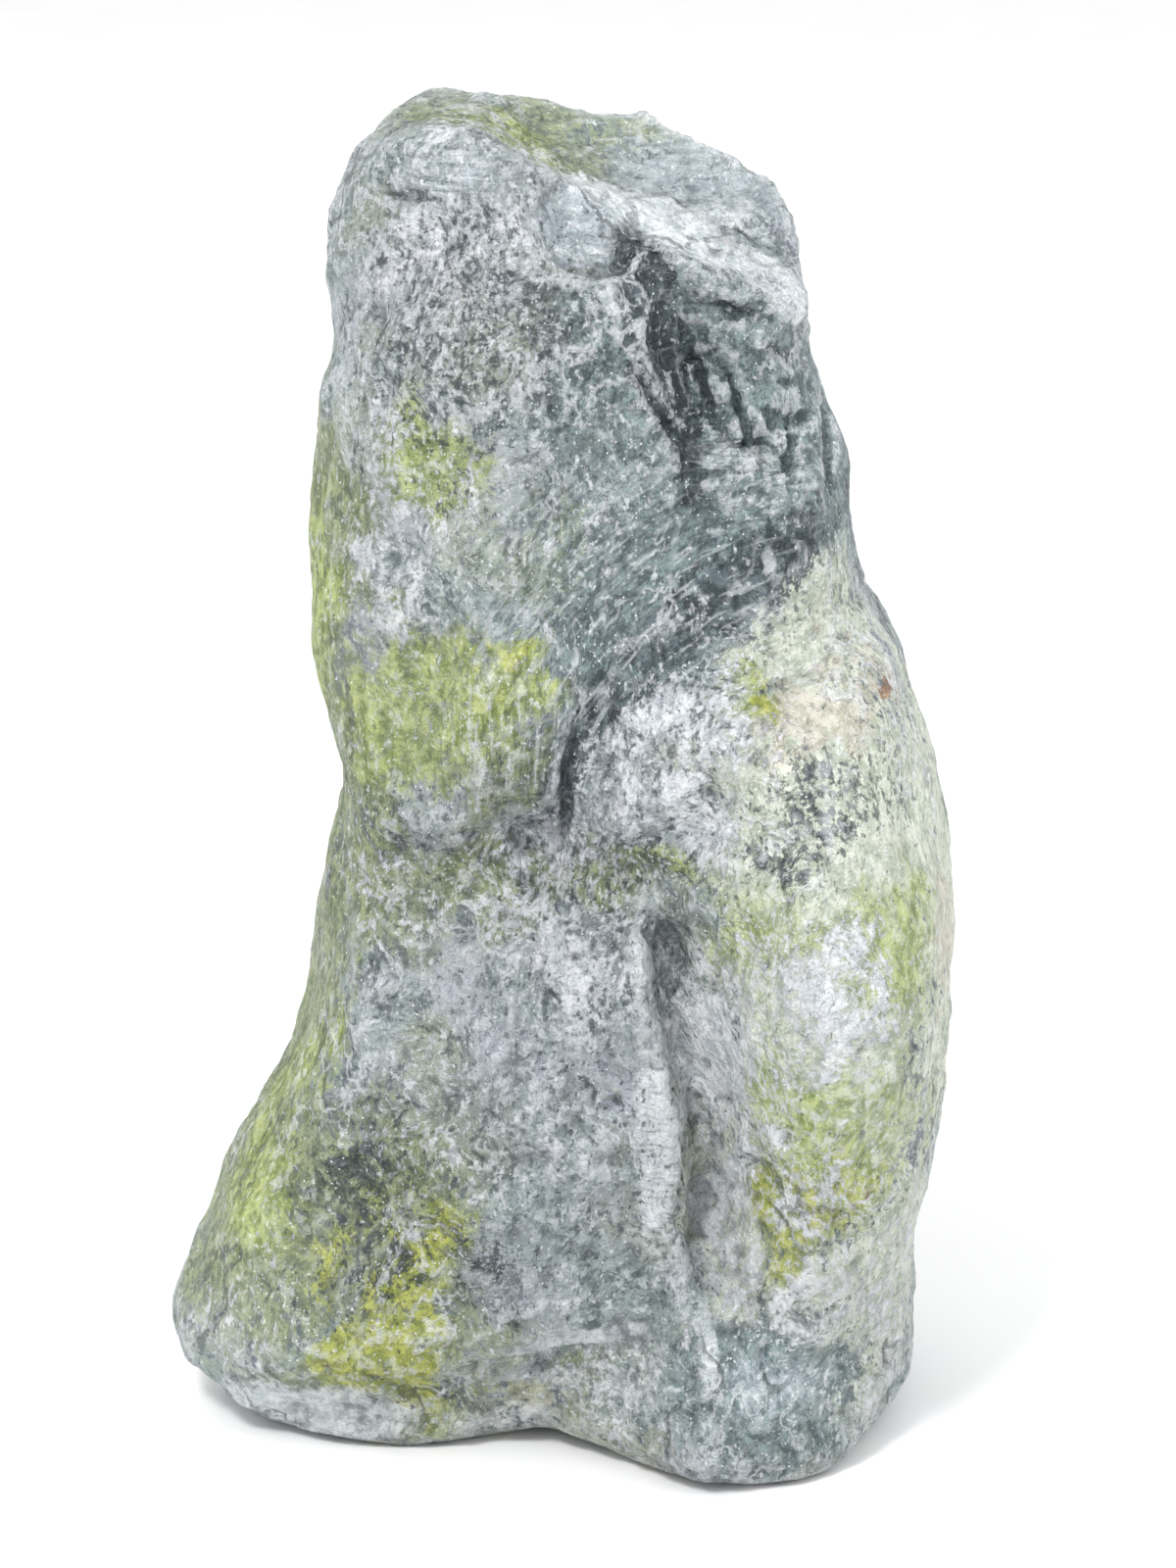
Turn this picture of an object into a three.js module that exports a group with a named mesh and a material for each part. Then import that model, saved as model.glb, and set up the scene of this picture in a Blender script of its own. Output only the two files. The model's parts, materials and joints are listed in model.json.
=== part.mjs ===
// A raw block of soapstone that stands on its broken, nearly flat underside, about 340 mm tall.
// Millimetres, +Z up. The face with the ridge, the notch and the swollen flank looks towards -Y.
// The stone grew as one piece, so it is one closed solid.
//
// The body is a stack of rings. Four side profiles give each ring its reach to the left, right,
// front and back. The rings run up from the flat base, round the lower edge, up the sides, over
// the rim and in across the sloping top. Flat breaks and named relief then shape the surface.
import * as THREE from "three";
import { ImprovedNoise } from "three/addons/math/ImprovedNoise.js";

// Driving dimensions
const STONE_HEIGHT = 340;

// Reach of the body from the working axis, as [height, reach] pairs
const LEFT_REACH = [
  [0, 91], [12, 98], [23, 101.5], [34, 98.5], [56, 89], [78, 76], [100, 67.5], [121, 64],
  [143, 60.5], [160, 58.5], [173, 56.5], [190, 59.5], [206, 61.5], [236, 60], [276, 58.5], [306, 57],
  [320, 53], [340, 48],
];
const RIGHT_REACH = [
  [0, 88], [23, 91.5], [56, 92], [89, 97], [121, 100], [143, 99.5], [164, 96.5], [185, 91],
  [206, 82], [216, 76], [236, 71.5], [256, 69.5], [276, 64], [296, 61], [306, 59.5], [320, 56], [340, 52],
];
const FRONT_REACH = [
  [0, 55], [30, 60], [80, 61], [130, 59], [160, 55], [200, 57], [250, 52], [300, 44], [340, 37],
];
const BACK_REACH = [
  [0, 56], [30, 64], [80, 69], [130, 66], [190, 58], [250, 52], [300, 45], [340, 40],
];
const CORNER_SHARPNESS = 2.9; // 2 is an ellipse, and larger numbers square the ring's corners

// The sloping top: height of its front ridge and of its back rim, as [x, height] pairs
const FRONT_RIDGE = [
  [-56, 315], [-50, 324.5], [-44, 332], [-34, 337.5], [-22, 339.5], [-8, 333], [6, 324],
  [18, 317], [36, 308], [54, 297], [66, 288],
];
const BACK_RIM = [
  [-56, 319], [-46, 329], [-36, 338], [-18, 340], [6, 336], [31, 334], [46, 330], [56, 321], [66, 305],
];
const RIDGE_Y = -38;
const BACK_RIM_Y = 36;
const TOP_HOLLOW = [[-50, 1], [-24, 2], [10, 8], [40, 9], [62, 4]]; // sag between ridge and rim
const TOP_RAGGEDNESS = [15, 3.2]; // wavelength and height of the bumps on the top and its rim

// Radius of the rounded lower edge and of the rim, as [degrees round the stone, radius] pairs.
// 0 is +X, 90 the back and 270 the front.
const LOWER_EDGE = [
  [0, 18], [45, 22], [90, 26], [135, 24], [180, 20], [208, 11], [228, 8], [246, 22], [262, 26],
  [275, 19], [286, 11], [300, 10], [318, 10], [340, 14],
];
const RIM_EDGE = [
  [0, 9], [45, 10], [90, 14], [135, 16], [180, 14], [210, 9], [235, 4], [270, 3], [318, 3], [340, 6],
];

// Mesh density
const COLUMNS = 86;
const SIDE_RINGS = 46;
const TOP_RINGS = 8;
const BASE_RINGS = 3;
const FRONT_CROWDING = 0.7; // how much closer the columns stand at the front than at the back
const CROWDING_STEPS = 3600; // fineness with which the columns are shared out round the stone
const RIM_PASSES = 8; // rounds of settling the rim's height on the sloping top

// The crack and the split ridge lie nearly over each other. One column of the mesh follows them
// both, as [height, x] pairs, and its neighbours crowd round it, so that their edges stay crisp.
const SEAM = [
  [0, 34], [30, 32], [62, 29.5], [106, 27], [122, 22.5], [152, 19.5], [200, 24], [262, 31.5], [282, 26],
  [298, 22], [313, 18], [340, 15],
];
const SEAM_ANGLE = THREE.MathUtils.degToRad(-70);
const SEAM_CROWDING = 2.2;
const SEAM_WIDTH = 0.2; // radians
const SEAM_PULL = 0.6; // radians round the seam that bend with it

const STONE_COLOUR = 0x9aa39c;

const noise = new ImprovedNoise();
const clamp01 = (t) => Math.min(1, Math.max(0, t));
const smooth = (t) => clamp01(t) ** 2 * (3 - 2 * clamp01(t));
const mix = (a, b, t) => a + (b - a) * t;
const radians = THREE.MathUtils.degToRad;

// A smooth curve y(x) through hand-set points, level beyond its ends.
function profile(points) {
  const slope = (i) => {
    const [a, b] = [points[Math.max(0, i - 1)], points[Math.min(points.length - 1, i + 1)]];
    return (b[1] - a[1]) / (b[0] - a[0]);
  };
  return (x) => {
    if (x <= points[0][0]) return points[0][1];
    if (x >= points.at(-1)[0]) return points.at(-1)[1];
    const i = points.findIndex((p) => p[0] > x) - 1;
    const width = points[i + 1][0] - points[i][0];
    const t = (x - points[i][0]) / width;
    const [t2, t3] = [t * t, t * t * t];
    return (2 * t3 - 3 * t2 + 1) * points[i][1] + (t3 - 2 * t2 + t) * width * slope(i)
      + (3 * t2 - 2 * t3) * points[i + 1][1] + (t3 - t2) * width * slope(i + 1);
  };
}

// The same round the stone, where the last point leads back to the first.
function around(points) {
  const turn = (step) => points.map(([degrees, value]) => [degrees + step, value]);
  const unrolled = profile([...turn(-360), ...turn(0), ...turn(360)]);
  return (angle) => unrolled(((THREE.MathUtils.radToDeg(angle) % 360) + 360) % 360);
}

const leftReach = profile(LEFT_REACH);
const rightReach = profile(RIGHT_REACH);
const frontReach = profile(FRONT_REACH);
const backReach = profile(BACK_REACH);
const frontRidge = profile(FRONT_RIDGE);
const backRim = profile(BACK_RIM);
const topHollow = profile(TOP_HOLLOW);
const seamX = profile(SEAM);
const lowerEdge = around(LOWER_EDGE);
const rimEdge = around(RIM_EDGE);

// The middle of a ring, and its radius in a direction: a rounded box with four reaches.
const spineX = (z) => (rightReach(z) - leftReach(z)) / 2;
function ringRadius(angle, z) {
  const half = (rightReach(z) + leftReach(z)) / 2;
  const deep = Math.sin(angle) < 0 ? frontReach(z) : backReach(z);
  const across = Math.abs(Math.cos(angle) / half) ** CORNER_SHARPNESS;
  const along = Math.abs(Math.sin(angle) / deep) ** CORNER_SHARPNESS;
  return (across + along) ** (-1 / CORNER_SHARPNESS);
}

// The angle of a column at a height: near the seam it bends so that the seam's column lies on it.
const turnFrom = (angle, from) => Math.atan2(Math.sin(angle - from), Math.cos(angle - from));
const bell = (t) => Math.exp(-t * t);
function columnAngle(angle, z) {
  const seamNow = Math.atan2(-frontReach(z), seamX(z) - spineX(z));
  return angle + (seamNow - SEAM_ANGLE) * bell(turnFrom(angle, SEAM_ANGLE) / SEAM_PULL);
}

// Height of the sloping top, which sags between its front ridge and its back rim.
function topHeight(x, y) {
  const t = clamp01((y - RIDGE_Y) / (BACK_RIM_Y - RIDGE_Y));
  const [wave, height] = TOP_RAGGEDNESS;
  const ragged = height * smooth(2 * t) * noise.noise(x / wave, y / wave, 0);
  return mix(frontRidge(x), backRim(x), smooth(t)) - topHollow(x) * 4 * t * (1 - t) + ragged;
}

// Distance from (x, z) to a line of hand-set points.
function distanceToLine(x, z, line) {
  let nearest = Infinity;
  for (let i = 0; i + 1 < line.length; i++) {
    const [[ax, az], [bx, bz]] = [line[i], line[i + 1]];
    const [dx, dz] = [bx - ax, bz - az];
    const t = clamp01(((x - ax) * dx + (z - az) * dz) / (dx * dx + dz * dz));
    nearest = Math.min(nearest, Math.hypot(x - ax - t * dx, z - az - t * dz));
  }
  return nearest;
}

// Depth of (x, z) inside a closed outline, negative outside it.
function depthInside(x, z, outline) {
  let inside = false;
  for (let i = 0, j = outline.length - 1; i < outline.length; j = i++) {
    const [[ax, az], [bx, bz]] = [outline[i], outline[j]];
    if (az > z !== bz > z && x < ((bx - ax) * (z - az)) / (bz - az) + ax) inside = !inside;
  }
  const distance = distanceToLine(x, z, [...outline, outline[0]]);
  return inside ? distance : -distance;
}

// Kinds of front relief: each gives millimetres towards -Y at (x, z).
const crest = (line, width, rise) => (x, z) =>
  rise * smooth(1 - distanceToLine(x, z, line) / width);
const groove = (line, width, depth) => crest(line, width, -depth);
const plateau = (outline, edge, rise) => (x, z) =>
  rise * smooth(depthInside(x, z, outline) / edge);
const swell = ([cx, cz], [long, wide], tilt, rise) => (x, z) => {
  const [c, s] = [Math.cos(radians(tilt)), Math.sin(radians(tilt))];
  const [u, v] = [(x - cx) * c + (z - cz) * s, (z - cz) * c - (x - cx) * s];
  return rise * smooth(1 - Math.hypot(u / long, v / wide));
};

// The notch broken out of the front below the ridge: its steep wall follows the crack, and its
// floor is a ledge. It is deepest in the corner along the crack.
const LEDGE = profile([[28, 263], [36, 259], [50, 256], [74, 252]]);
const NOTCH = { cornerDepth: 11, farDepth: 5, wall: 5, ledge: 6, underRidge: 13, cornerWidth: 15 };
function brokenNotch(x, z) {
  const fromCrack = x - seamX(z);
  const depth = mix(NOTCH.cornerDepth, NOTCH.farDepth, smooth(fromCrack / NOTCH.cornerWidth));
  const below = smooth((frontRidge(x) - z) / NOTCH.underRidge);
  return -depth * smooth(fromCrack / NOTCH.wall) * smooth((z - LEDGE(x)) / NOTCH.ledge) * below;
}

// The split down the lower front: a proud strip with a steep right side, which drops to a trough.
const SPLIT = { low: 44, high: 156, ends: 26, rise: 5, strip: 15, drop: 9, wall: 4, trough: 26 };
function splitRidge(x, z) {
  const lively = smooth((z - SPLIT.low) / SPLIT.ends) * smooth((SPLIT.high - z) / SPLIT.ends);
  const past = x - seamX(z);
  const strip = SPLIT.rise * smooth(past < 0 ? 1 + past / SPLIT.strip : 1 - past / SPLIT.wall);
  const farSide = smooth(1 - (past - SPLIT.wall) / SPLIT.trough);
  const trough = SPLIT.drop * smooth(past / SPLIT.wall) * farSide;
  return lively * (strip - trough);
}

const FRONT_RELIEF = {
  brokenNotch,
  splitRidge,
  swollenFlank: plateau([
    [33, 40], [31, 64], [31, 100], [26, 128], [24, 158], [34, 188], [56, 214], [84, 216], [120, 150],
    [120, 28], [60, 26],
  ], 38, 22),
  flankCrown: swell([66, 132], [80, 44], 84, 7),
  flankHollow: swell([50, 78], [30, 22], 70, -4),
  foreFoot: swell([56, 4], [61, 62], 0, 26),
  ledgeLip: crest([[31, 256], [48, 252], [68, 248]], 12, 3),
  crackEnd: groove([[32, 262], [33, 250], [30, 240]], 8, 3),
  sweptHollow: swell([26, 228], [54, 25], 42, -9),
  hollowTail: groove([[80, 225], [58, 219], [38, 211], [16, 196], [0, 179], [-8, 164]], 18, 9),
  paleRidge: crest([[44, 200], [22, 180], [12, 166], [4, 150]], 16, 4),
  waist: groove([[-66, 147], [-45, 150], [-24, 154], [-6, 158], [10, 158]], 23, 6),
  waistBrow: crest([[-52, 170], [-24, 173], [-8, 179]], 20, 3),
  lowerCrest: crest([[31, 50], [32, 32], [34, 12]], 14, 4),
  undercut: groove([[-66, 12], [-34, 15], [-6, 21], [20, 34]], 20, 6),
  sideEdge: crest([[-50, 142], [-56, 112], [-64, 84], [-76, 56]], 20, 5),
  sideDraw: groove([[-62, 142], [-70, 106], [-84, 74]], 18, 5),
  footHollow: swell([-42, 64], [38, 28], 60, -5),
  toeSwell: swell([-66, 30], [44, 26], 0, 5),
  cheekHollow: swell([-34, 210], [36, 24], 100, -5),
  cheekRidge: crest([[-8, 262], [-14, 236], [-22, 206], [-20, 190]], 14, 3),
  browSwell: swell([-18, 276], [50, 34], 80, 5),
  cornerGap: groove([[64, 296], [66, 270], [70, 248], [77, 226]], 9, 6),
  chippedRidge: swell([6, 319], [22, 11], -30, -6),
  smoothFacet: swell([62, 22], [34, 20], 20, -6),
};

// The front relief starts on columns that face this far towards the front, and is whole a bit on.
const RELIEF_START = 0.1;
const RELIEF_BLEND = 0.35;

// Flat breaks, each at a distance from the middle of the body along its outward normal.
const BODY_MIDDLE = new THREE.Vector3(0, 0, 165);
const LEAST_SLANT = 0.35; // keeps a cut short on columns that lie nearly along the break
const BREAKS = [
  { name: "backPane", normal: [0.16, 1, 0.16], distance: 53, soft: 5 },
  { name: "backLowerPane", normal: [-0.1, 1, -0.22], distance: 68, soft: 7 },
  { name: "backLowerLeft", normal: [-0.62, 0.78, -0.2], distance: 86, soft: 8 },
  { name: "backUpperLeft", normal: [-0.74, 0.66, 0.16], distance: 74, soft: 6 },
  { name: "backUpperRight", normal: [0.66, 0.74, 0.1], distance: 72, soft: 5 },
  { name: "backLowerRight", normal: [0.62, 0.78, -0.16], distance: 90, soft: 7 },
];

// Round swells and hollows on the sides that look away: [middle, reach, rise].
const SIDE_RELIEF = [
  { name: "backHollow", middle: [16, 50, 238], reach: [44, 60, 52], rise: -12 },
  { name: "backBrow", middle: [-20, 50, 296], reach: [46, 40, 30], rise: 5 },
  { name: "backKnee", middle: [-30, 64, 92], reach: [56, 60, 66], rise: 8 },
  { name: "backFoot", middle: [52, 60, 30], reach: [46, 50, 38], rise: 9 },
  { name: "backCleft", middle: [24, 66, 116], reach: [36, 70, 84], rise: -11 },
  { name: "backStep", middle: [54, 56, 168], reach: [40, 50, 22], rise: 7 },
  { name: "rightSeat", middle: [72, 24, 228], reach: [40, 36, 24], rise: -7 },
  { name: "rightRidge", middle: [96, 34, 120], reach: [50, 18, 78], rise: 6 },
  { name: "rightHollow", middle: [98, 0, 64], reach: [44, 26, 36], rise: -5 },
  { name: "leftScoop", middle: [-64, 28, 176], reach: [40, 36, 46], rise: -9 },
  { name: "leftToe", middle: [-92, 30, 26], reach: [40, 30, 34], rise: 6 },
];

// Natural unevenness: [wavelength, height] of each layer of noise.
const ROUGHNESS = [[62, 3.6], [29, 2.6], [14, 1.5]];
const unevenness = (x, y, z) => ROUGHNESS.reduce(
  (sum, [wave, height]) => sum + height * noise.noise(x / wave, y / wave, z / wave), 0);

// Pushes a point in along its ring wherever it stands outside a flat break.
function cutByBreaks(point, outward) {
  for (const { normal, distance, soft } of BREAKS) {
    const n = new THREE.Vector3(...normal).normalize();
    const over = n.dot(point.clone().sub(BODY_MIDDLE)) - distance;
    const softOver = over > soft ? over : (Math.max(0, over + soft) ** 2) / (4 * soft);
    point.addScaledVector(outward, -softOver / Math.max(LEAST_SLANT, n.dot(outward)));
  }
}

// Moves a point out or in by the round swells and hollows of the sides.
function swellSides(point, outward) {
  for (const { middle, reach, rise } of SIDE_RELIEF) {
    const away = Math.hypot(...point.toArray().map((p, i) => (p - middle[i]) / reach[i]));
    point.addScaledVector(outward, rise * smooth(1 - away));
  }
}

// Relief of the front face, which fades out where the ring turns away from the front.
function raiseFront(point, angle) {
  const facing = smooth((-Math.sin(angle) - RELIEF_START) / RELIEF_BLEND);
  const relief = Object.values(FRONT_RELIEF).reduce((sum, f) => sum + f(point.x, point.z), 0);
  point.y -= relief * facing;
}

// A point on the side: share runs from 0 on the base's edge to 1 on the rim.
function sidePoint(angle, share) {
  const [low, high] = [lowerEdge(angle), rimEdge(angle)];
  let rim = topHeight(0, 0);
  for (let pass = 0; pass < RIM_PASSES; pass++) {
    const turned = columnAngle(angle, rim);
    const r = ringRadius(turned, rim) - high;
    rim = topHeight(spineX(rim) + r * Math.cos(turned), r * Math.sin(turned));
  }
  const [lowArc, highArc] = [(low * Math.PI) / 2, (high * Math.PI) / 2];
  const straight = rim - low - high;
  const along = share * (lowArc + straight + highArc);
  let [z, inset] = [low + along - lowArc, 0];
  if (along < lowArc) {
    [z, inset] = [low * (1 - Math.cos(along / low)), low * (1 - Math.sin(along / low))];
  } else if (along > lowArc + straight) {
    const arc = (along - lowArc - straight) / high;
    [z, inset] = [rim - high * (1 - Math.sin(arc)), high * (1 - Math.cos(arc))];
  }
  const turned = columnAngle(angle, z);
  const outward = new THREE.Vector3(Math.cos(turned), Math.sin(turned), 0);
  const reach = ringRadius(turned, z) - inset;
  const point = new THREE.Vector3(spineX(z), 0, z).addScaledVector(outward, reach);
  cutByBreaks(point, outward);
  swellSides(point, outward);
  raiseFront(point, turned);
  return point.addScaledVector(outward, unevenness(point.x, point.y, point.z));
}

// Column angles round the stone, one of them on the seam, spaced by how much detail each side has.
function columnAngles() {
  const crowd = (angle) => 1 - FRONT_CROWDING * Math.sin(angle)
    + SEAM_CROWDING * bell(turnFrom(angle, SEAM_ANGLE) / SEAM_WIDTH);
  const turn = Array.from({ length: CROWDING_STEPS }, (_, step) =>
    SEAM_ANGLE + (step / CROWDING_STEPS) * 2 * Math.PI);
  const total = turn.reduce((sum, angle) => sum + crowd(angle), 0);
  const angles = [];
  let passed = 0;
  for (const angle of turn) {
    if (passed >= (angles.length * total) / COLUMNS) angles.push(angle);
    passed += crowd(angle);
  }
  return angles;
}

// Rings from the base's middle out, up the sides and in to the top's middle.
function stoneRings() {
  const angles = columnAngles();
  const sides = Array.from({ length: SIDE_RINGS + 1 }, (_, ring) =>
    angles.map((angle) => sidePoint(angle, ring / SIDE_RINGS)));
  const [foot, rim] = [sides[0], sides.at(-1)];
  const baseMiddle = new THREE.Vector3(spineX(0), 0, 0);
  const topMiddle = new THREE.Vector3(spineX(STONE_HEIGHT), 0, 0);
  const base = Array.from({ length: BASE_RINGS - 1 }, (_, ring) =>
    foot.map((p) => baseMiddle.clone().lerp(p, (ring + 1) / BASE_RINGS)));
  const top = Array.from({ length: TOP_RINGS - 1 }, (_, ring) =>
    rim.map((p) => topPoint(p, topMiddle, 1 - (ring + 1) / TOP_RINGS)));
  return { rings: [...base, ...sides, ...top], baseMiddle, topMiddle: topPoint(rim[0], topMiddle, 0) };
}

// A point on the top, by its share of the way out from the middle to a point of the rim.
function topPoint(rimPoint, middle, share) {
  const [x, y] = [mix(middle.x, rimPoint.x, share), mix(middle.y, rimPoint.y, share)];
  const rimStep = (rimPoint.z - topHeight(rimPoint.x, rimPoint.y)) * share ** 4;
  const rough = unevenness(x, y, topHeight(x, y)) * smooth((1 - share) * 3);
  return new THREE.Vector3(x, y, topHeight(x, y) + rimStep + rough);
}

// Skins the rings, splitting each cell along its shorter diagonal so that edges stay crisp.
function stoneGeometry() {
  const { rings, baseMiddle, topMiddle } = stoneRings();
  const points = [baseMiddle, ...rings.flat(), topMiddle];
  const at = (ring, column) => 1 + ring * COLUMNS + (column % COLUMNS);
  const faces = [];
  for (let column = 0; column < COLUMNS; column++) {
    faces.push([0, at(0, column + 1), at(0, column)]);
    for (let ring = 0; ring + 1 < rings.length; ring++) {
      const [a, b] = [at(ring, column), at(ring, column + 1)];
      const [c, d] = [at(ring + 1, column + 1), at(ring + 1, column)];
      const firstIsShorter = points[a].distanceTo(points[c]) < points[b].distanceTo(points[d]);
      if (firstIsShorter) faces.push([a, b, c], [a, c, d]);
      else faces.push([a, b, d], [b, c, d]);
    }
    faces.push([at(rings.length - 1, column), at(rings.length - 1, column + 1), points.length - 1]);
  }
  const geometry = new THREE.BufferGeometry().setFromPoints(points);
  geometry.setIndex(faces.flat());
  return geometry;
}

// The origin is the middle of the bounding box, at the height of the base.
const geometry = stoneGeometry();
geometry.computeBoundingBox();
const middle = geometry.boundingBox.getCenter(new THREE.Vector3());
geometry.translate(-middle.x, -middle.y, 0);
geometry.computeVertexNormals();

const soapstone = new THREE.Mesh(
  geometry,
  new THREE.MeshStandardMaterial({ color: STONE_COLOUR, roughness: 0.72, metalness: 0 }),
);
soapstone.name = "soapstone";

const stone = new THREE.Group();
stone.add(soapstone);
export default stone;
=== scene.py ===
"""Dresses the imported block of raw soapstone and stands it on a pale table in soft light.

The block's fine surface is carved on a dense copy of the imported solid: chips, ripples, cracks,
plates and streaks. Masks laid on the same mesh say where the stone is stained, dusty, dark or
smooth, and the stone's material reads them. Places on the stone are in millimetres.
"""

import json
import logging
import math
from collections.abc import Iterable
from dataclasses import dataclass, field
from enum import Enum
from typing import ClassVar

import bpy
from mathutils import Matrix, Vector

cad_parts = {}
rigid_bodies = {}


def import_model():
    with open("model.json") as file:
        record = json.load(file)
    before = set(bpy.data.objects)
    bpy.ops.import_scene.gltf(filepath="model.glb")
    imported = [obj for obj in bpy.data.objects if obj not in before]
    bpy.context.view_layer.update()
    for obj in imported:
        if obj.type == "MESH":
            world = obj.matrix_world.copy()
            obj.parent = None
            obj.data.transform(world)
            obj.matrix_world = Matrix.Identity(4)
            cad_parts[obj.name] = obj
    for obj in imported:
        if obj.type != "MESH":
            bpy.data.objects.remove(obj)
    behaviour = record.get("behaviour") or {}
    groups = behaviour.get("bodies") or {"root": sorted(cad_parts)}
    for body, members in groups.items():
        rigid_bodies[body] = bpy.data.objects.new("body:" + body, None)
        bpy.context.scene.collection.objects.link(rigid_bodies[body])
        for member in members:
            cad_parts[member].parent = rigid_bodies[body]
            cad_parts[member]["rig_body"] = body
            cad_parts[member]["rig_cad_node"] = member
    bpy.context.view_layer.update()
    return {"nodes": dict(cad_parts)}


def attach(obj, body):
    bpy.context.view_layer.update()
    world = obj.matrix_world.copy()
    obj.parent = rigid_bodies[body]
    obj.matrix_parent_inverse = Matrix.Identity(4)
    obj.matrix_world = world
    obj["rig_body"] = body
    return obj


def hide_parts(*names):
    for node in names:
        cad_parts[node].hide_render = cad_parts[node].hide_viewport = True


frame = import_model()

LOG = logging.getLogger("soapstone")
NODE = "soapstone"
BODY = "root"
MILLIMETRE = 0.001
NODES_IN_A_COLUMN = 8
COLUMN_WIDTH, ROW_HEIGHT = 210, 190
RIDGE_MASK = "ridge"
SOFT_EDGE = 0.8
SHARP_EDGE = 0.4

Socket = bpy.types.NodeSocket
Place = tuple[float, float, float]
Colour = tuple[float, float, float, float]
Feed = Socket | float | int | str | tuple[float, ...]
Waves = tuple[tuple[float, float], ...]
Band = tuple[float, float]


def tint(red: int, green: int, blue: int) -> Colour:
    """Turns a colour on the usual 0 to 255 scale into linear light.

    Args:
        red: Red, 0 to 255.
        green: Green, 0 to 255.
        blue: Blue, 0 to 255.

    Returns:
        The linear colour, with full alpha.
    """
    shares = [part / 255 for part in (red, green, blue)]
    linear = [s / 12.92 if s <= 0.04045 else ((s + 0.055) / 1.055) ** 2.4 for s in shares]
    return (*linear, 1.0)


class Trait(Enum):
    """What the surface is like from place to place. Each value names the mask on the mesh."""

    OLIVE = "olive"
    LIME = "lime"
    YELLOW = "yellow"
    CREAM = "cream"
    BLUSH = "blush"
    RUST = "rust"
    SLATE = "slate"
    INK = "ink"
    DUST = "dust"
    PALE = "pale"
    PLAIN = "plain"
    BLUE = "blue"
    PEPPER = "pepper"
    SMOOTH = "smooth"
    SWEPT = "swept"
    COMBED = "combed"
    DRAWN = "drawn"
    PLATED = "plated"
    CRACK = "crack"


@dataclass(frozen=True)
class Blot:
    """A soft ellipsoid on the stone, in millimetres, where a trait is at its full strength.

    Its reach is along X, Y and Z before it is turned, and its turn is in degrees, anticlockwise
    as the front is looked at.
    """

    centre: Place
    reach: Place
    strength: float = 1.0
    turn: float = 0.0


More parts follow.
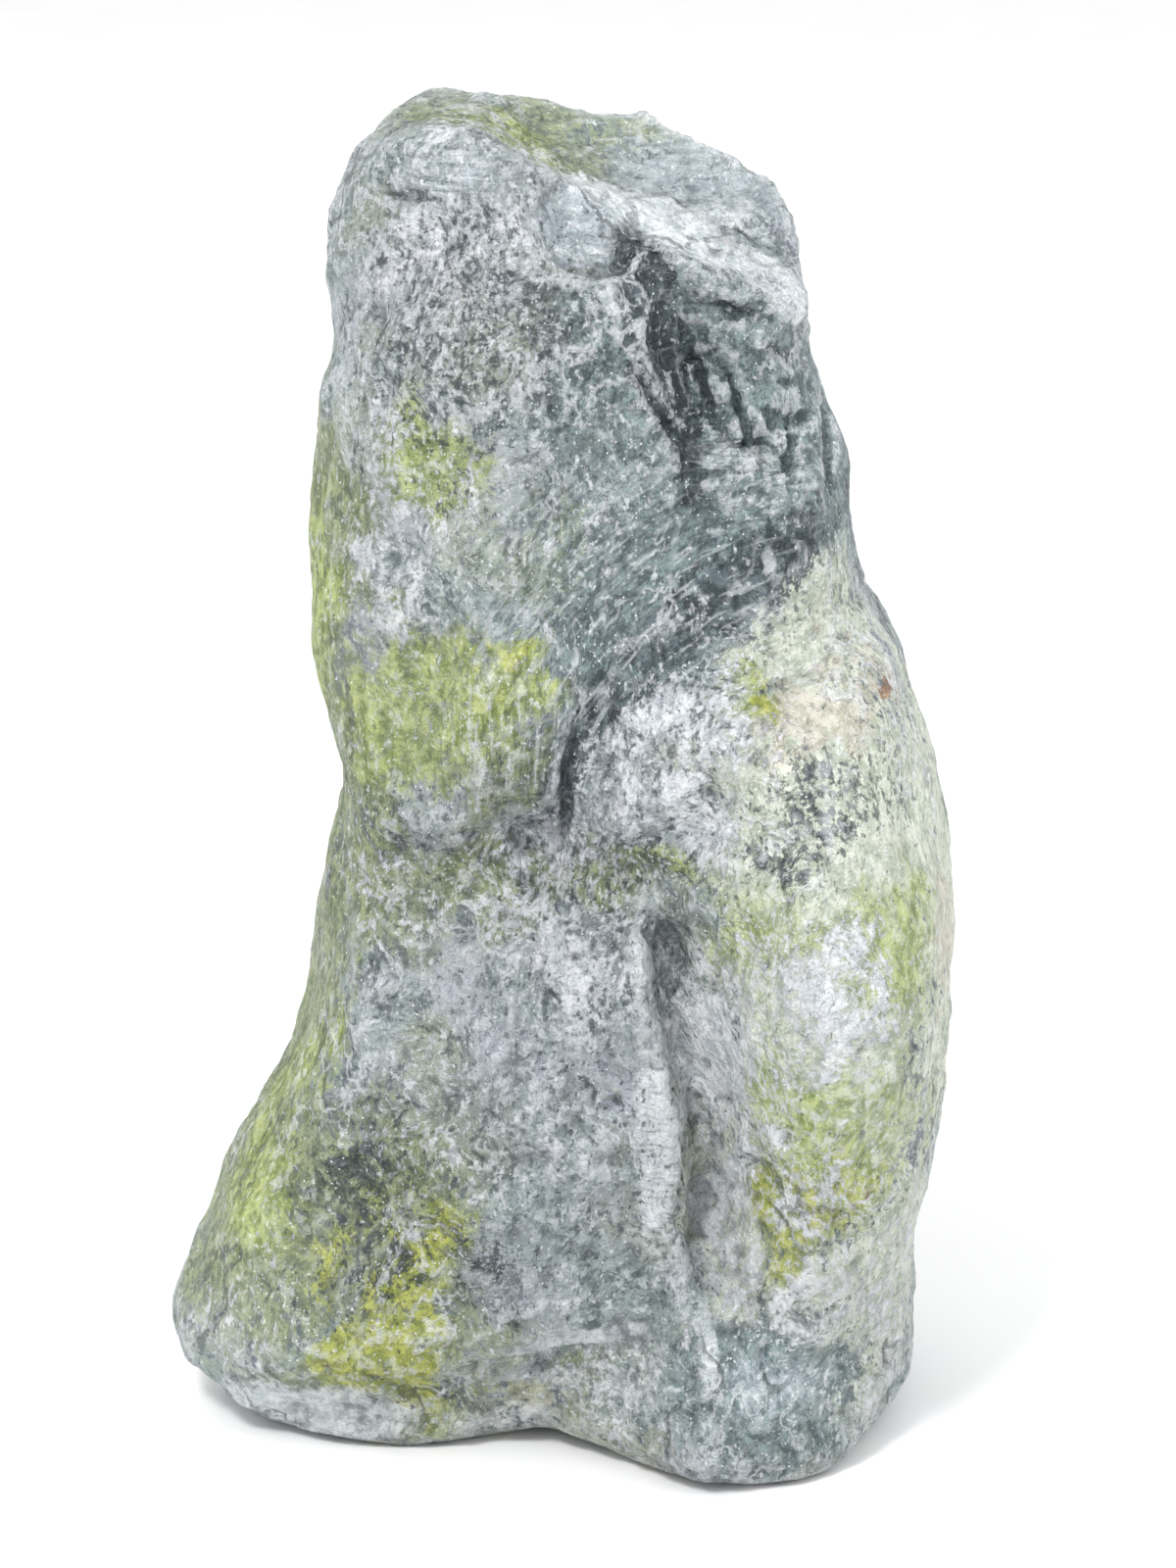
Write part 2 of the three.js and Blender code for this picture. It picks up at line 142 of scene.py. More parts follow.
BLOTS: dict[Trait, tuple[Blot, ...]] = {
    Trait.OLIVE: (
        Blot((-9, 6, 331), (32, 28, 13), 1.05, -18),
        Blot((7, 25, 327), (15, 15, 10), 0.7),
        Blot((-62, -8, 222), (19, 36, 44), 1.4),
        Blot((-13, -47, 186), (14, 30, 24), 0.8),
        Blot((-62, -4, 164), (20, 42, 42), 1.5),
        Blot((-17, -35, 153), (26, 25, 10), 1.1),
        Blot((-38, -34, 147), (17, 22, 9), 0.7),
        Blot((-70, 0, 111), (22, 46, 54), 1.5, -13),
        Blot((-46, -42, 68), (28, 30, 30), 0.95),
        Blot((-72, -36, 50), (24, 34, 30), 0.8),
        Blot((-20, -48, 36), (20, 24, 20), 0.6),
        Blot((-56, -24, 158), (14, 32, 30), 1.8),
        Blot((12, -46, 12), (14, 20, 9), 0.6),
        Blot((-50, -44, 14), (46, 30, 16), 0.75),
        Blot((-92, -20, 60), (16, 40, 40), 0.95),
        Blot((10, -45, 27), (13, 20, 10), 0.85),
        Blot((16, -38, 156), (22, 20, 9), 1.0),
        Blot((38, -50, 140), (14, 20, 12), 0.4),
        Blot((-30, 60, 120), (30, 24, 40), 0.8),
        Blot((-30, 62, 250), (24, 24, 30), 0.7),
        Blot((60, 50, 60), (24, 26, 22), 0.7),
    ),
    Trait.LIME: (
        Blot((-32, -38, 262), (15, 22, 14), 1.25),
        Blot((-41, -33, 222), (6, 12, 6), 0.8),
        Blot((-22, -40, 203), (20, 24, 17), 1.2),
        Blot((-38, -36, 188), (20, 24, 14), 0.95),
        Blot((-66, -14, 214), (15, 32, 36), 1.0),
        Blot((-76, -22, 86), (14, 34, 34), 0.95, -12),
        Blot((-64, -34, 106), (12, 26, 26), 0.8),
        Blot((54, -66, 146), (22, 24, 14), 0.75),
        Blot((78, -62, 146), (15, 22, 15), 0.9),
        Blot((57, -64, 94), (30, 28, 36), 0.88),
        Blot((42, -50, 90), (15, 22, 28), 0.5),
        Blot((75, -62, 83), (14, 22, 16), 0.5),
        Blot((47, -41, 206), (8, 14, 8), 0.9),
        Blot((84, -52, 112), (9, 28, 26), 0.6),
        Blot((30, -46, 163), (16, 20, 7), 0.7),
        Blot((-8, -38, 242), (16, 20, 14), 0.4),
        Blot((-14, 2, 333), (15, 18, 9), 0.9),
        Blot((-20, 62, 130), (18, 20, 20), 0.7),
        Blot((40, 60, 60), (18, 22, 16), 0.65),
    ),
    Trait.YELLOW: (
        Blot((-43, -49, 29), (15, 20, 10), 1.4),
        Blot((-34, -46, 50), (8, 20, 24), 0.95, -25),
        Blot((-52, -42, 60), (12, 18, 14), 0.65),
        Blot((59, -63, 73), (20, 20, 13), 0.9),
        Blot((-38, -50, 15), (20, 20, 10), 0.75),
        Blot((49, -41, 205), (6, 12, 6), 1.2),
        Blot((-16, -40, 208), (10, 16, 12), 0.7),
        Blot((60, -66, 92), (20, 20, 16), 0.45),
        Blot((77, -62, 82), (9, 18, 9), 0.7),
        Blot((57, -67, 149), (10, 20, 7), 0.5),
    ),
    Trait.CREAM: (
        Blot((62, -28, 217), (24, 30, 19), 1.1),
        Blot((55, -47, 198), (31, 30, 24), 1.1),
        Blot((68, -60, 163), (30, 34, 50), 1.1),
        Blot((62, -70, 108), (36, 36, 52), 1.2),
        # Partly the groove's own cream, partly painted light that offsets the groove's shade.
        Blot((43, -50, 86), (17, 28, 42), 1.4),
        Blot((80, -46, 50), (20, 40, 40)),
        Blot((-16, -46, 8), (50, 26, 11), 0.8),
        Blot((92, -20, 150), (20, 50, 60)),
        Blot((90, 20, 120), (20, 46, 50), 0.8),
        Blot((-76, -10, 24), (22, 40, 16), 0.5),
        Blot((-76, 36, 60), (24, 30, 30), 0.7),
        Blot((-14, -36, 236), (26, 22, 22), 0.45),
    ),
    Trait.BLUSH: (
        Blot((67, -40, 202), (20, 24, 11), 0.8, 10),
        Blot((94, -20, 138), (7, 30, 26), 0.7),
        Blot((-24, -46, 8), (50, 24, 11), 0.8),
        Blot((-84, -14, 66), (9, 26, 18), 0.5, -20),
    ),
    Trait.RUST: (
        Blot((81, -28, 201), (1.2, 6, 2.2), 0.8),
        Blot((77, -62, 80), (2.0, 9, 1.8), 0.6),
    ),
    Trait.SLATE: (
        Blot((43, -25, 280), (27, 34, 34), 1.25),
        Blot((11, -35, 278), (16, 26, 30), 0.9, 10),
        Blot((43, -32, 243), (38, 30, 18), 1.2, 22),
        Blot((19, -37, 208), (27, 28, 18), 1.1, 45),
        Blot((70, -6, 256), (9, 40, 40), 0.8),
        Blot((12, -40, 226), (30, 28, 28), 0.92),
        Blot((4, -36, 186), (16, 26, 18), 0.7, 30),
        Blot((54, -57, 31), (24, 26, 15), 1.0),
        Blot((50, -58, 12), (36, 24, 10), 0.7),
        Blot((42, -44, 66), (5, 20, 8), 0.45),
        Blot((28, -50, 42), (12, 22, 8), 0.4),
        Blot((0, 60, 200), (36, 26, 40), 0.75),
        Blot((72, 34, 90), (20, 30, 40), 0.75),
    ),
    Trait.INK: (
        # These three follow the big crack: partly the stone's own dark, partly painted shade in
        # the crack.
        Blot((20, -28, 304), (7, 20, 14), 1.5, 13),
        Blot((23, -33, 289), (6.5, 20, 19), 1.5, 12),
        Blot((31, -36, 269), (4, 20, 18), 1.3, 10),
        Blot((73, -4, 262), (5, 30, 40), 0.45),
        Blot((44, -26, 278), (18, 22, 20), 0.42),
        Blot((44, -35, 230), (34, 22, 9), 0.9, 30),
        Blot((19, -37, 207), (28, 22, 8), 0.85, 46),
        Blot((4, -38, 184), (20, 22, 7), 0.85, 64),
        # Painted shadow: a thin dark line where the raised strip casts its shade into the groove.
        Blot((30, -51, 87), (2.2, 20, 27), 0.6, 3),
        Blot((-5, -33, 298), (13, 20, 9), 0.5),
        Blot((-18, -34, 290), (20, 20, 17), 0.42),
        Blot((5, -37, 160), (22, 20, 8), 0.32),
        Blot((-17, -50, 53), (12, 20, 15), 0.5),
        Blot((-50, -44, 82), (16, 20, 18), 0.5),
        Blot((-44, -44, 50), (12, 20, 14), 0.4),
        Blot((-37, -28, 322), (9, 12, 1.8), turn=-4),
        Blot((-42, -35, 166), (18, 20, 10), 0.45),
        Blot((-58, -22, 156), (9, 28, 30), 0.4),
        Blot((-10, -48, 136), (14, 20, 12), 0.32),
        Blot((28, -48, 150), (22, 20, 9), 0.4),
        Blot((66, -60, 182), (18, 22, 10), 0.5, 28),
        Blot((54, -60, 168), (12, 22, 8), 0.45),
        Blot((20, 62, 120), (6, 20, 40), 0.6, 10),
    ),
    Trait.DUST: (
        Blot((-38, -33, 229), (14, 26, 17), 0.6),
        Blot((-20, -45, 100), (24, 26, 26), 0.35),
        Blot((-6, -38, 151), (50, 24, 12), 0.46),
        Blot((14, -48, 24), (26, 22, 18), 0.42),
        Blot((-24, -28, 314), (38, 24, 24), 0.52),
        Blot((-10, -38, 250), (30, 24, 20), 0.3),
        Blot((-46, -35, 270), (12, 20, 24), 0.5),
        Blot((26, -44, 192), (16, 26, 28), 0.68, -30),
        Blot((37, -47, 175), (12, 20, 11), 0.68),
        # Partly dust, partly painted light that offsets the groove's shade.
        Blot((44, -52, 80), (13, 24, 40), 0.74),
        Blot((-7, -30, 162), (14, 16, 10), 0.6),
        Blot((66, -71, 137), (16, 22, 18), 0.7),
        Blot((63, -61, 52), (18, 22, 14), 0.6),
        Blot((12, -48, 133), (18, 22, 22), 0.64),
        Blot((-28, -26, 329), (24, 20, 8), 0.6),
        Blot((-14, -8, 335), (26, 20, 8), 0.42),
        # Partly dust, partly painted light that offsets the groove's shade.
        Blot((39, -50, 110), (12, 22, 28), 0.85),
        Blot((64, -62, 74), (22, 22, 20), 0.42),
        Blot((-82, -33, 40), (12, 24, 14), 0.3),
        Blot((82, -40, 40), (14, 34, 34), 0.5),
        Blot((-24, -40, 296), (28, 24, 28), 0.45),
        Blot((-45, 55, 260), (20, 24, 30), 0.5),
        Blot((10, 62, 70), (30, 24, 22), 0.5),
        Blot((60, 45, 180), (22, 26, 24), 0.55),
    ),
    Trait.PALE: (
        Blot((12, 2, 318), (14, 10, 3), 0.9, -30),
        Blot((30, -4, 309), (22, 14, 6.2), 1.3, -28),
        Blot((50, -8, 300), (18, 15, 6.6), 1.3, -28),
        Blot((20, -24, 318), (8, 10, 2.2), 0.8, -50),
        Blot((-2, -32, 304), (9, 16, 2.2), 0.8, -12),
        Blot((13, -30, 296), (2.8, 16, 10), 0.6, 12),
        Blot((48, -29, 260), (24, 14, 2.6), 0.5, -6),
        # The split strip: partly its own pale colour, partly painted light on its lit face.
        Blot((22, -46, 137), (4, 16, 17), 1.0),
        Blot((24, -54, 91), (6, 16, 31), 0.95),
        Blot((5, -46, 37), (20, 14, 2.4), 0.95, 12),
        Blot((37, -55, 36), (2.6, 12, 16), 0.9),
        Blot((-46, -42, 62), (2.2, 20, 36), 0.5, -24),
        Blot((42, 2, 313), (24, 18, 9), 0.7, -20),
        # Paler along the bottom: the stone's pale rim, with painted light standing in for light
        # bounced up from the table.
        Blot((-66, -44, 10), (30, 30, 11), 0.95),
        Blot((-14, -44, 8), (20, 26, 9), 0.6),
    ),
    Trait.PLAIN: (
        Blot((8, -23, 315), (13, 14, 9), 1.2),
        Blot((-30, -26, 328), (24, 18, 9), 0.7),
        Blot((40, 16, 316), (30, 24, 12), 0.8, -14),
        Blot((54, -57, 29), (20, 22, 12), 0.6),
    ),
    Trait.BLUE: (
        Blot((5, -45, 142), (18, 22, 14)),
        Blot((18, -46, 120), (12, 20, 18), 0.8),
        Blot((-2, -51, 95), (34, 30, 54), 0.65),
    ),
    Trait.PEPPER: (
        Blot((69, -57, 181), (20, 26, 15), 1.1, 30),
        Blot((-18, -40, 288), (38, 30, 38), 1.1),
        Blot((4, -38, 160), (58, 26, 16), 0.9),
        Blot((10, -48, 112), (38, 26, 48), 0.65),
        Blot((32, -40, 190), (18, 26, 30), 0.8, -20),
        Blot((-46, -42, 66), (26, 26, 30), 0.8),
        Blot((62, -66, 100), (26, 26, 50), 0.15),
        Blot((0, 60, 150), (60, 30, 90), 0.7),
    ),
    Trait.SMOOTH: (
        Blot((8, -23, 315), (12, 14, 9)),
        Blot((21, -30, 305), (10, 14, 10)),
        Blot((54, -57, 31), (22, 26, 14)),
        Blot((16, -38, 225), (44, 26, 40), 0.75),
        Blot((34, -4, 307), (26, 10, 5), 0.8, -28),
        Blot((-28, -26, 329), (22, 20, 8), 0.7),
        Blot((70, -40, 170), (30, 50, 70), 0.7),
        Blot((-84, -20, 50), (26, 50, 46), 0.95),
        Blot((-66, 0, 180), (18, 60, 130), 0.95),
        Blot((92, 0, 150), (24, 70, 130), 0.9),
        Blot((74, 0, 270), (22, 60, 64), 1.0),
        Blot((20, 22, 330), (70, 46, 15), 0.7),
    ),
    Trait.SWEPT: (Blot((14, -38, 222), (42, 30, 36)), Blot((8, -38, 190), (16, 24, 20), turn=30)),
    Trait.COMBED: (
        Blot((-28, -26, 329), (28, 20, 11)),
        Blot((50, -29, 257), (26, 16, 6), turn=-6),
        Blot((24, -54, 91), (7, 16, 32)),
        Blot((34, -4, 307), (30, 30, 14), 0.8, -28),
        Blot((6, 14, 330), (60, 34, 16), 0.8, -12),
    ),
    Trait.DRAWN: (
        Blot((-13, -47, 188), (17, 26, 26)),
        Blot((-7, -30, 160), (12, 16, 10)),
        Blot((-62, 0, 180), (14, 50, 80), 0.8),
    ),
    Trait.PLATED: (
        Blot((46, -25, 280), (24, 32, 28)),
        Blot((-6, -34, 298), (16, 24, 14), 0.4),
    ),
    Trait.CRACK: (
        Blot((20, -28, 306), (4.5, 20, 12), turn=13),
        Blot((25, -32, 290), (3.5, 20, 17), turn=12),
        Blot((31, -35, 270), (2.5, 20, 16), 0.8, 10),
        Blot((34, -25, 280), (1.2, 16, 12), turn=20),
        Blot((28, -35, 268), (1.2, 16, 13), turn=36),
        Blot((44, -27, 272), (1.0, 16, 9), 0.8, 14),
        Blot((67, -10, 262), (1.5, 20, 18), 0.8),
        Blot((2, -40, 178), (1.6, 20, 14), 0.8, -8),
        Blot((-37, -28, 322), (8, 12, 1.6), 0.8, -4),
        Blot((56, -30, 262), (1.0, 16, 10), 0.7, 4),
    ),
}


NEAT_TRAITS = (
    Trait.RUST, Trait.INK, Trait.PALE, Trait.PLAIN, Trait.SMOOTH,
    Trait.SWEPT, Trait.COMBED, Trait.DRAWN, Trait.PLATED,
)


@dataclass
class Graph:
    """Writes a node tree, of a material or of a mesh modifier, as if it were plain sums."""

    tree: bpy.types.NodeTree

    def node(
        self, kind: str, feeds: dict[str | int, Feed] | None = None, **settings: object
    ) -> bpy.types.Node:
        """Adds a node and feeds its inputs.

        Args:
            kind: Blender's name of the node type.
            feeds: What each input gets, by its name or its number: a socket or a value.
            **settings: The node's own settings.

        Returns:
            The new node.
        """
        made = self.tree.nodes.new(kind)
        for name, value in settings.items():
            setattr(made, name, value)
        for key, feed in (feeds or {}).items():
            self.connect(feed, self.input_of(made, key))
        column, row = divmod(len(self.tree.nodes), NODES_IN_A_COLUMN)
        made.location = (column * COLUMN_WIDTH, -row * ROW_HEIGHT)
        return made

    @staticmethod
    def input_of(node: bpy.types.Node, key: str | int) -> Socket:
        """Finds an input by its number, or the one in use that has its name."""
        if isinstance(key, int):
            return node.inputs[key]
        return next(s for s in node.inputs if s.name == key and s.enabled)

    @staticmethod
    def result(node: bpy.types.Node) -> Socket:
        """Finds the first output that the node's settings leave in use."""
        return next(s for s in node.outputs if s.enabled)

    def connect(self, feed: Feed, socket: Socket) -> None:
        """Links a socket to an input, or sets the input's own value."""
        if isinstance(feed, Socket):
            self.tree.links.new(feed, socket)
        else:
            socket.default_value = feed

    def math(self, operation: str, *values: Feed) -> Socket:
        """Does a sum on one, two or three numbers."""
        feeds = dict(enumerate(values))
        return self.result(self.node("ShaderNodeMath", feeds, operation=operation))

    def vector(self, operation: str, *values: Feed) -> Socket:
        """Does a sum on vectors, whose result is a vector or, for a length, a number."""
        feeds = dict(enumerate(values))
        return self.result(self.node("ShaderNodeVectorMath", feeds, operation=operation))

    def scaled(self, vector: Feed, factor: Feed) -> Socket:
        """Makes a vector longer or shorter by a factor."""
        feeds = {"Vector": vector, "Scale": factor}
        return self.result(self.node("ShaderNodeVectorMath", feeds, operation="SCALE"))

    def ramp(self, value: Feed, low: Feed, high: Feed) -> Socket:
        """Rises smoothly from 0 where the value is low to 1 where it is high."""
        feeds = {"Value": value, "From Min": low, "From Max": high}
        return self.result(
            self.node("ShaderNodeMapRange", feeds, interpolation_type="SMOOTHSTEP")
        )

    def split(self, vector: Feed) -> tuple[Socket, ...]:
        """Takes a vector apart into X, Y and Z."""
        return tuple(self.node("ShaderNodeSeparateXYZ", {0: vector}).outputs)

    def join(self, x: Feed, y: Feed, z: Feed) -> Socket:
        """Puts a vector together from X, Y and Z."""
        return self.result(self.node("ShaderNodeCombineXYZ", {0: x, 1: y, 2: z}))

    def noise_node(
        self, place: Feed, wave: float, detail: float = 3.0, roughness: float = 0.55,
        distortion: float = 0.0,
    ) -> bpy.types.Node:
        """Adds a noise texture.

        Args:
            place: Where it is read.
            wave: Its wavelength, in the same unit as the place.
            detail: How many finer layers it has.
            roughness: How strong each finer layer is beside the last.
            distortion: How far it is drawn out into wisps.

        Returns:
            The texture node.
        """
        feeds = {"Vector": place, "Scale": 1 / wave, "Detail": detail, "Roughness": roughness}
        return self.node("ShaderNodeTexNoise", {**feeds, "Distortion": distortion})

    def noise(
        self, place: Feed, wave: float, detail: float = 3.0, roughness: float = 0.55,
        distortion: float = 0.0,
    ) -> Socket:
        """Reads noise from about 0 to 1, with its middle at one half."""
        return self.noise_node(place, wave, detail, roughness, distortion).outputs[0]

    def swing(
        self, place: Feed, wave: float, detail: float = 3.0, roughness: float = 0.55
    ) -> Socket:
        """Reads noise that swings evenly to both sides of zero, to about one half."""
        return self.math("SUBTRACT", self.noise(place, wave, detail, roughness), 0.5)

    def crests(self, place: Feed, wave: float, detail: float = 3.0) -> Socket:
        """Reads noise folded at its middle: sharp crests at 0, and hollows below it."""
        return self.times(self.math("ABSOLUTE", self.swing(place, wave, detail)), -1.0)

    def shaken(self, place: Feed, waves: Waves) -> Socket:
        """Moves a place about, so that what is laid on it gets a ragged outline.

        Args:
            place: A place on the stone in millimetres.
            waves: Each wavelength in millimetres, with its strength.

        Returns:
            The moved place.
        """
        for wave, strength in waves:
            colour = self.noise_node(place, wave, 2.0).outputs[1]
            shake = self.vector("SUBTRACT", colour, (0.5, 0.5, 0.5))
            place = self.vector("ADD", place, self.scaled(shake, strength))
        return place

    def times(self, *values: Feed) -> Socket:
        """Multiplies numbers."""
        first, *others = values
        for other in others:
            first = self.math("MULTIPLY", first, other)
        return first

    def total(self, values: Iterable[Feed]) -> Socket:
        """Adds up numbers."""
        first, *others = values
        for other in others:
            first = self.math("ADD", first, other)
        return first

    def blend(self, share: Feed, base: Feed, top: Feed) -> Socket:
        """Mixes two colours by a share from 0, the base, to 1, the top."""
        feeds = {"Factor": share, "A": base, "B": top}
        return self.result(self.node("ShaderNodeMix", feeds, data_type="RGBA"))


@dataclass(frozen=True)
class Pattern:
    """Noise of one size: its wavelength, how many finer layers it has, and how wispy it is."""

    wave: float
    detail: float = 3.0
    roughness: float = 0.55
    distortion: float = 0.0
    shift: Place | None = None

    def read(self, graph: Graph, place: Feed) -> Socket:
        """Reads the noise at a place, moved by the shift where there is one."""
        if self.shift:
            place = graph.vector("ADD", place, self.shift)
        return graph.noise(place, self.wave, self.detail, self.roughness, self.distortion)


class Streak(Enum):
    """Ways in which fine lines run over the broken surface."""

    SWEPT = "round the swollen flank"
    COMBED = "level across the stone"
    DRAWN = "straight up and down"


@dataclass(frozen=True)
class StreakField:
    """Fine lines on the stone: long, narrow noise laid along a way of running."""

    run: Streak
    across: float
    along: float

    flank: tuple[float, float] = (75.0, 160.0)
    sweep_radius: float = 75.0

    def place(self, graph: Graph, place: Feed) -> Socket:
        """Bends and stretches a place so that noise read there runs in these lines.

        Args:
            graph: The tree to write in.
            place: A place on the stone in millimetres.

        Returns:
            The stretched place, where one unit is one line across.
        """
        x, y, z = graph.split(place)
        if self.run is Streak.SWEPT:
            level = graph.math("SUBTRACT", x, self.flank[0])
            height = graph.math("SUBTRACT", z, self.flank[1])
            radius = graph.vector("LENGTH", graph.join(level, height, 0.0))
            arc = graph.times(graph.math("ARCTAN2", height, level), self.sweep_radius)
            fine, long, other = radius, arc, y
        elif self.run is Streak.COMBED:
            fine, long, other = z, x, y
        else:
            fine, long, other = x, z, y
        return graph.join(
            graph.math("DIVIDE", fine, self.across),
            graph.math("DIVIDE", long, self.along),
            graph.math("DIVIDE", other, self.along),
        )

    def swing(self, graph: Graph, place: Feed, detail: float = 2.0) -> Socket:
        """Reads the lines, as a number that swings evenly to both sides of zero."""
        return graph.swing(self.place(graph, place), 1.0, detail)


SWEPT_RIPPLES = StreakField(Streak.SWEPT, across=4.6, along=20.0)
SWEPT_HAIRLINES = StreakField(Streak.SWEPT, across=1.6, along=11.0)
COMBED_RIPPLES = StreakField(Streak.COMBED, across=3.4, along=26.0)
COMBED_HAIRLINES = StreakField(Streak.COMBED, across=1.2, along=14.0)
DRAWN_RIPPLES = StreakField(Streak.DRAWN, across=3.2, along=24.0)
DRAWN_HAIRLINES = StreakField(Streak.DRAWN, across=1.1, along=12.0)
HAIRLINES = {
    Trait.SWEPT: SWEPT_HAIRLINES,
    Trait.COMBED: COMBED_HAIRLINES,
    Trait.DRAWN: DRAWN_HAIRLINES,
}


class MeshGraph(Graph):
    """A node tree that is used as a modifier on the stone's mesh.

    It lays traits on three places that are moved about: hardly for cracks, a little for what has
    a neat outline, and a lot for stains.
    """

    straight_waves: ClassVar[Waves] = ((26.0, 5.0), (5.0, 1.6))
    ragged_waves: ClassVar[Waves] = ((26.0, 13.0), (7.0, 5.0))
    wild_waves: ClassVar[Waves] = ((34.0, 44.0), (12.0, 22.0), (5.0, 8.0))

    def __init__(self, name: str) -> None:
        """Makes the tree with one way in and one way out for the mesh."""
        tree = bpy.data.node_groups.new(name, "GeometryNodeTree")
        tree.is_modifier = True
        for way in ("INPUT", "OUTPUT"):
            tree.interface.new_socket("Geometry", in_out=way, socket_type="NodeSocketGeometry")
        super().__init__(tree)
        self.mesh = self.result(self.node("NodeGroupInput"))
        metres = self.result(self.node("GeometryNodeInputPosition"))
        self.place = self.scaled(metres, 1 / MILLIMETRE)
        self.normal = self.result(self.node("GeometryNodeInputNormal"))
        self.ragged = self.shaken(self.place, self.ragged_waves)
        self.wild = self.shaken(self.place, self.wild_waves)
        self.straight = self.shaken(self.place, self.straight_waves)

    def blot(self, blot: Blot, place: Feed, softness: float) -> Socket:
        """Reads how far a place is inside a blot.

        Args:
            blot: The blot.
            place: The place, in millimetres.
            softness: Width of its soft edge, as a share of its reach.

        Returns:
            The blot's strength inside it, and 0 outside.
        """
        offset = self.vector("SUBTRACT", place, tuple(map(float, blot.centre)))
        if blot.turn:
            feeds = {"Vector": offset, "Angle": math.radians(blot.turn)}
            offset = self.result(
                self.node("ShaderNodeVectorRotate", feeds, rotation_type="Y_AXIS")
            )
        shares = self.vector("DIVIDE", offset, tuple(map(float, blot.reach)))
        away = self.vector("LENGTH", shares)
        inside = self.ramp(away, 1.0 + softness, 1.0 - softness)
        return self.times(inside, blot.strength)

    def trait(self, trait: Trait) -> Socket:
        """Reads how strongly a place has a trait: 0 outside its blots, their strength inside."""
        place = self.ragged if trait in NEAT_TRAITS else self.wild
        softness = SOFT_EDGE
        if trait is Trait.CRACK:
            place, softness = self.straight, SHARP_EDGE
        first, *others = (self.blot(blot, place, softness) for blot in BLOTS[trait])
        for other in others:
            first = self.math("MAXIMUM", first, other)
        return first

    def finish(self, mesh: Socket) -> bpy.types.NodeTree:
        """Sends the mesh to the way out and hands the tree over."""
        self.node("NodeGroupOutput", {0: mesh})
        return self.tree


@dataclass(frozen=True)
class Relief:
    """The fine shape of the broken surface, in millimetres."""

    chip_size: float = 17.0
    chip_depth: float = 2.2
    flake_size: float = 6.0
    flake_depth: float = 1.2
    lump_size: float = 12.0
    lump_height: float = 2.2
    lump_detail: float = 4.0
    lump_roughness: float = 0.6
    hackle_size: float = 9.0
    hackle_height: float = 7.0
    plate_size: tuple[float, float, float] = (12.0, 15.0, 6.5)
    plate_step: float = 3.2
    ripple_height: float = 2.2
    comb_height: float = 1.3
    crack_depth: float = 3.2
    facet_middle: Place = (8.0, -23.0, 315.0)
    facet_facing: Place = (0.30, -0.87, 0.40)
    facet_depth: float = 1.4
    facet_reach: float = 15.0
    facet_edge: float = 0.75
    base_fade: float = 7.0
    smoothing: float = 0.8
    scoop_middle: float = 0.45

    def tree(self) -> bpy.types.NodeTree:
        """Writes the modifier that carves the surface."""
        graph = MeshGraph("stone_relief")
        smooth = graph.times(graph.trait(Trait.SMOOTH), self.smoothing)
        rough = graph.math("SUBTRACT", 1.0, smooth)
        broken = graph.times(self.broken(graph), rough)
        cracks = graph.times(graph.trait(Trait.CRACK), -self.crack_depth)
        height = graph.total([broken, self.plates(graph), self.streaks(graph), cracks])
        z = graph.split(graph.place)[2]
        height = graph.times(height, graph.ramp(z, 0.0, self.base_fade))
        along_normal = graph.scaled(graph.normal, graph.times(height, MILLIMETRE))
        offset = graph.vector("ADD", along_normal, self.facet(graph))
        feeds = {"Geometry": graph.mesh, "Offset": offset}
        carved = graph.result(graph.node("GeometryNodeSetPosition", feeds))
        return graph.finish(carved)

    def broken(self, graph: MeshGraph) -> Socket:
        """Reads the height of scooped chips and flakes, lumps and sharp hackles."""
        chips = self.scooped(graph, self.chip_size, self.chip_depth)
        flakes = self.scooped(graph, self.flake_size, self.flake_depth)
        lumps = graph.swing(graph.place, self.lump_size, self.lump_detail, self.lump_roughness)
        lumps = graph.times(lumps, self.lump_height)
        hackles = graph.times(graph.crests(graph.place, self.hackle_size), self.hackle_height)
        return graph.total([chips, flakes, lumps, hackles])

    def scooped(self, graph: MeshGraph, size: float, depth: float) -> Socket:
        """Reads the height of scoops that meet in sharp crests."""
        feeds = {"Vector": graph.ragged, "Scale": 1 / size}
        cells = graph.node("ShaderNodeTexVoronoi", feeds, feature="F1")
        height = graph.math("SUBTRACT", cells.outputs[0], self.scoop_middle)
        return graph.times(height, depth)

    def plates(self, graph: MeshGraph) -> Socket:
        """Reads the height of the thin stepped plates beside the crack."""
        feeds = {"Vector": graph.vector("DIVIDE", graph.straight, self.plate_size), "Scale": 1.0}
        cells = graph.node("ShaderNodeTexVoronoi", feeds, feature="F1")
        step = graph.math("SUBTRACT", graph.split(cells.outputs[1])[0], 0.5)
        return graph.times(step, self.plate_step, graph.trait(Trait.PLATED))

    def streaks(self, graph: MeshGraph) -> Socket:
        """Reads the height of the ripples that run over swept, combed and drawn places."""
        kinds = (
            (Trait.SWEPT, SWEPT_RIPPLES, self.ripple_height),
            (Trait.COMBED, COMBED_RIPPLES, self.comb_height),
            (Trait.DRAWN, DRAWN_RIPPLES, self.comb_height),
        )
        return graph.total(
            graph.times(streaks.swing(graph, graph.place), height, graph.trait(trait))
            for trait, streaks, height in kinds
        )

    def facet(self, graph: MeshGraph) -> Socket:
        """Reads the move, in metres, that cuts the flat facet below the top ridge."""
        offset = graph.vector("SUBTRACT", graph.place, self.facet_middle)
        proud = graph.math(
            "ADD", graph.vector("DOT_PRODUCT", offset, self.facet_facing), self.facet_depth
        )
        away = graph.vector("LENGTH", offset)
        near = graph.ramp(away, self.facet_reach, self.facet_reach * self.facet_edge)
        cut = graph.times(graph.math("MAXIMUM", proud, 0.0), near)
        return graph.scaled(self.facet_facing, graph.times(cut, -MILLIMETRE))


